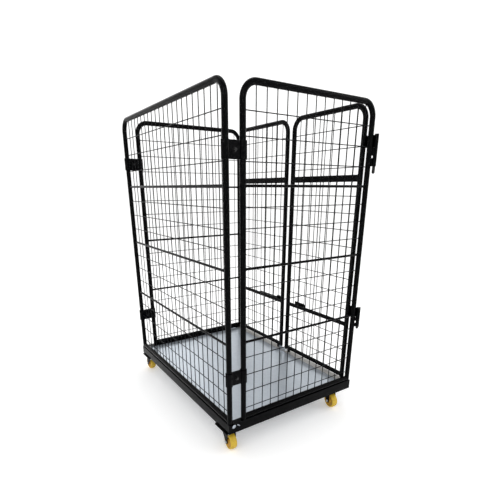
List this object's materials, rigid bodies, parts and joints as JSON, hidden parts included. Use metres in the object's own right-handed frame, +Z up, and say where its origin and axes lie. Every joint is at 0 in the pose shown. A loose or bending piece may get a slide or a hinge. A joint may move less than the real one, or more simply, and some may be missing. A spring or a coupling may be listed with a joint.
{
  "type": "roll cage container",
  "caption": "Tall castored cage trolley with tube-framed wire mesh sides, a sheet deck and hinged mesh door leaves on one long side.",
  "frame": {"origin": "on the ground, under the middle of the base", "axes": "+X towards the door side, +Y along the length of the base towards the rear end, +Z up"},
  "size_m": [0.8345, 1.18, 1.5665],
  "materials": {
    "black_powder_coat": "semi-gloss black powder coat on steel tube and rail",
    "black_wire": "black coated welded wire mesh",
    "galvanised_steel": "hot-dip galvanised deck sheet with a soft spangle",
    "zinc_plate": "bright zinc-plated fasteners and fittings",
    "black_fastener": "blackened steel bolts, nuts and hinge pins",
    "castor_black": "pressed steel with a black coat",
    "yellow_tread": "moulded yellow tyre and wheel"
  },
  "bodies": {
    "base": {"side_rail_closed": "black_powder_coat", "door_sill": "black_powder_coat", "end_rail_front": "black_powder_coat", "end_rail_rear": "black_powder_coat", "cross_members": "black_powder_coat", "corner_plates": "galvanised_steel", "floor_sheet": "galvanised_steel", "sill_plate": "galvanised_steel", "door_stop": "zinc_plate", "panel_spigots": "zinc_plate", "panel_screws": "zinc_plate", "closed_panel_frame": "black_powder_coat", "closed_panel_rods": "black_powder_coat", "closed_panel_mesh": "black_wire", "front_panel_frame": "black_powder_coat", "front_panel_rods": "black_powder_coat", "front_panel_mesh": "black_wire", "rear_panel_frame": "black_powder_coat", "rear_panel_rods": "black_powder_coat", "rear_panel_mesh": "black_wire", "corner_clamps": "black_powder_coat", "clamp_bolts": "black_fastener", "clamp_nuts": "black_fastener", "front_post_knuckles": "black_powder_coat", "rear_post_knuckles": "black_powder_coat", "castor_plates": "castor_black", "castor_plate_bolts": "zinc_plate", "castor_king_bolts": "zinc_plate"},
    "front_leaf": {"front_leaf_frame": "black_powder_coat", "front_leaf_rails": "black_powder_coat", "front_leaf_mesh": "black_wire", "front_leaf_foot": "black_powder_coat", "front_leaf_knuckles": "black_powder_coat", "front_hinge_pins": "black_fastener", "latch_keeper": "black_powder_coat"},
    "rear_leaf": {"rear_leaf_frame": "black_powder_coat", "rear_leaf_rails": "black_powder_coat", "rear_leaf_mesh": "black_wire", "rear_leaf_foot": "black_powder_coat", "rear_leaf_knuckles": "black_powder_coat", "rear_hinge_pins": "black_fastener", "latch_bracket": "black_powder_coat", "latch_pivot_bolt": "black_fastener"},
    "latch_bar": {"latch_bar": "black_powder_coat"},
    "castor_front_closed": {"fork_front_closed": "castor_black", "axle_front_closed": "zinc_plate", "bush_front_closed": "zinc_plate"},
    "castor_rear_closed": {"fork_rear_closed": "castor_black", "axle_rear_closed": "zinc_plate", "bush_rear_closed": "zinc_plate"},
    "castor_front_door": {"fork_front_door": "castor_black", "axle_front_door": "zinc_plate", "bush_front_door": "zinc_plate"},
    "castor_rear_door": {"fork_rear_door": "castor_black", "axle_rear_door": "zinc_plate", "bush_rear_door": "zinc_plate"},
    "wheel_front_closed": {"wheel_front_closed": "yellow_tread"},
    "wheel_rear_closed": {"wheel_rear_closed": "yellow_tread"},
    "wheel_front_door": {"wheel_front_door": "yellow_tread"},
    "wheel_rear_door": {"wheel_rear_door": "yellow_tread"}
  },
  "joints": [
    {"name": "front_leaf_hinge", "type": "hinge", "parent": "base", "child": "front_leaf", "pos_m": [0.412, -0.5805, 0.95], "axis": [0, 0, -1], "range_deg": [0, 265]},
    {"name": "rear_leaf_hinge", "type": "hinge", "parent": "base", "child": "rear_leaf", "pos_m": [0.412, 0.5805, 0.95], "axis": [0, 0, 1], "range_deg": [0, 265]},
    {"name": "latch_bar_pivot", "type": "hinge", "parent": "rear_leaf", "child": "latch_bar", "pos_m": [0.4051, 0.085, 0.486], "axis": [1, 0, 0], "range_deg": [0, 180]},
    {"name": "swivel_front_closed", "type": "hinge", "parent": "base", "child": "castor_front_closed", "pos_m": [-0.369, -0.507, 0.09], "axis": [0, 0, 1], "continuous": true},
    {"name": "roll_front_closed", "type": "hinge", "parent": "castor_front_closed", "child": "wheel_front_closed", "pos_m": [-0.37172, -0.53286, 0.042], "axis": [0.9945, -0.1045, 0], "continuous": true},
    {"name": "swivel_rear_closed", "type": "hinge", "parent": "base", "child": "castor_rear_closed", "pos_m": [-0.369, 0.507, 0.09], "axis": [0, 0, 1], "continuous": true},
    {"name": "roll_rear_closed", "type": "hinge", "parent": "castor_rear_closed", "child": "wheel_rear_closed", "pos_m": [-0.36991, 0.53298, 0.042], "axis": [-0.9994, -0.0349, 0], "continuous": true},
    {"name": "swivel_front_door", "type": "hinge", "parent": "base", "child": "castor_front_door", "pos_m": [0.312, -0.507, 0.09], "axis": [0, 0, 1], "continuous": true},
    {"name": "roll_front_door", "type": "hinge", "parent": "castor_front_door", "child": "wheel_front_door", "pos_m": [0.30838, -0.53275, 0.042], "axis": [0.9903, -0.1392, 0], "continuous": true},
    {"name": "swivel_rear_door", "type": "hinge", "parent": "base", "child": "castor_rear_door", "pos_m": [0.312, 0.507, 0.09], "axis": [0, 0, 1], "continuous": true},
    {"name": "roll_rear_door", "type": "hinge", "parent": "castor_rear_door", "child": "wheel_rear_door", "pos_m": [0.30749, 0.5326, 0.042], "axis": [-0.9848, -0.1736, 0], "continuous": true}
  ]
}
